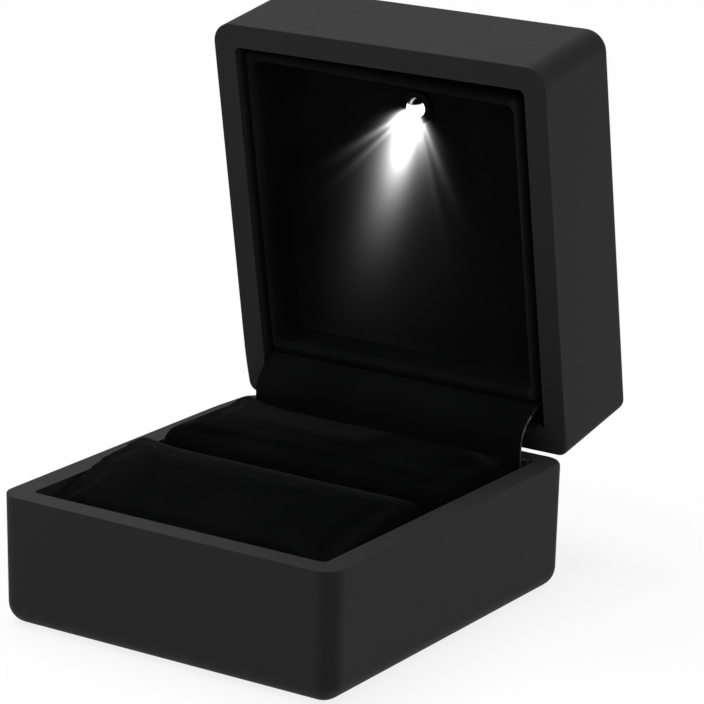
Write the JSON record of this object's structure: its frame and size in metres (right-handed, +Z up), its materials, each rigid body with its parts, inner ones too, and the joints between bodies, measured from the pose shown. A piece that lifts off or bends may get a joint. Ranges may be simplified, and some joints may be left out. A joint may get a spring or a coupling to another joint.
{
  "type": "ring display box",
  "caption": "Small hinged box, open, with a slit velvet ring cushion in the base and a lit, velvet-lined dish in the lid.",
  "frame": {"origin": "middle of the base's flat underside", "axes": "+Z up, +X to the box's right seen from the front, +Y towards the hinge"},
  "size_m": [0.06, 0.0841, 0.0867],
  "materials": {
    "soft_touch_black": "soft-touch matte lacquer, faint orange peel",
    "velvet_black": "short-pile velvet over foam or card",
    "card": "grey-brown millboard",
    "hinge_steel": "bright zinc-plated sheet",
    "spring_steel": "polished spring steel",
    "screw_steel": "zinc-plated",
    "black_plastic": "moulded, fine texture",
    "lamp_white": "diffused white resin, lit",
    "tinned_wire": "tinned",
    "board_green": "solder resist on glass laminate",
    "cell_steel": "nickel-plated",
    "contact_brass": "plated contact strip",
    "resistor_tan": "lacquered body",
    "tape": "foam adhesive disc"
  },
  "bodies": {
    "base": {"base_shell": "soft_touch_black", "base_board": "card", "front_cushion": "velvet_black", "rear_cushion": "velvet_black", "hinge_cover": "velvet_black", "hinge_base_leaf": "hinge_steel", "hinge_base_screws": "screw_steel", "hinge_pin": "hinge_steel", "snap_spring": "spring_steel"},
    "lid": {"lid_shell": "soft_touch_black", "lid_liner": "velvet_black", "liner_tape": "tape", "hinge_lid_leaf": "hinge_steel", "hinge_lid_screws": "screw_steel", "led_bezel": "black_plastic", "led_lamp": "lamp_white", "led_leads": "tinned_wire", "circuit_board": "board_green", "board_screws": "screw_steel", "battery_holder": "black_plastic", "cell_lower": "cell_steel", "cell_upper": "cell_steel", "contact_tongue": "contact_brass", "contact_clip": "contact_brass", "resistor": "resistor_tan", "resistor_leads": "tinned_wire", "tilt_switch_can": "cell_steel", "tilt_switch_header": "black_plastic"},
    "tilt_ball": {"tilt_switch_ball": "spring_steel"}
  },
  "joints": [
    {"name": "lid_hinge", "type": "hinge", "parent": "base", "child": "lid", "pos_m": [0, 0.0326, 0.02095], "axis": [1, 0, 0], "range_deg": [0, 80], "deforming": ["snap_spring", "hinge_cover"]},
    {"name": "tilt_ball_slide", "type": "slide", "parent": "lid", "child": "tilt_ball", "axis": [0, -0.5736, 0.8192], "range_m": [0, 0.0016]}
  ]
}
